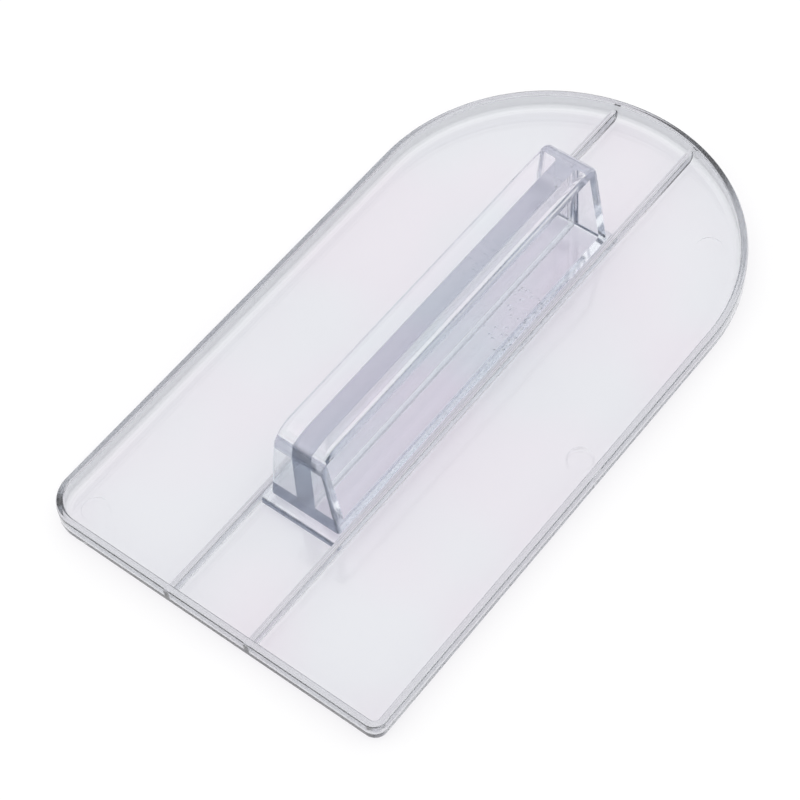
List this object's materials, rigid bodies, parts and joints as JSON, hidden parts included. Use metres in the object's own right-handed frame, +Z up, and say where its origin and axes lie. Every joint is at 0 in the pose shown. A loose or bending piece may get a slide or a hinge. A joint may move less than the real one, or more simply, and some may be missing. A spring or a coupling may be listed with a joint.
{
  "type": "icing smoother",
  "caption": "Clear plastic icing smoother: a shallow rimmed plate with one round end, two stiffening ribs and a bonded bridge handle.",
  "frame": {"origin": "middle of the flat smoothing face on the underside of the plate, on the face itself", "axes": "+Z up from the smoothing face to the handle, +Y along the handle from the straight end to the round end, +X across the plate"},
  "size_m": [0.08, 0.145, 0.0242],
  "materials": {
    "clear_plate": "clear, polished, faintly violet grey",
    "clear_handle": "clear, polished, faintly blue grey in its thick web"
  },
  "bodies": {
    "root": {"smoothing_plate": "clear_plate", "grip_handle": "clear_handle"}
  },
  "joints": []
}
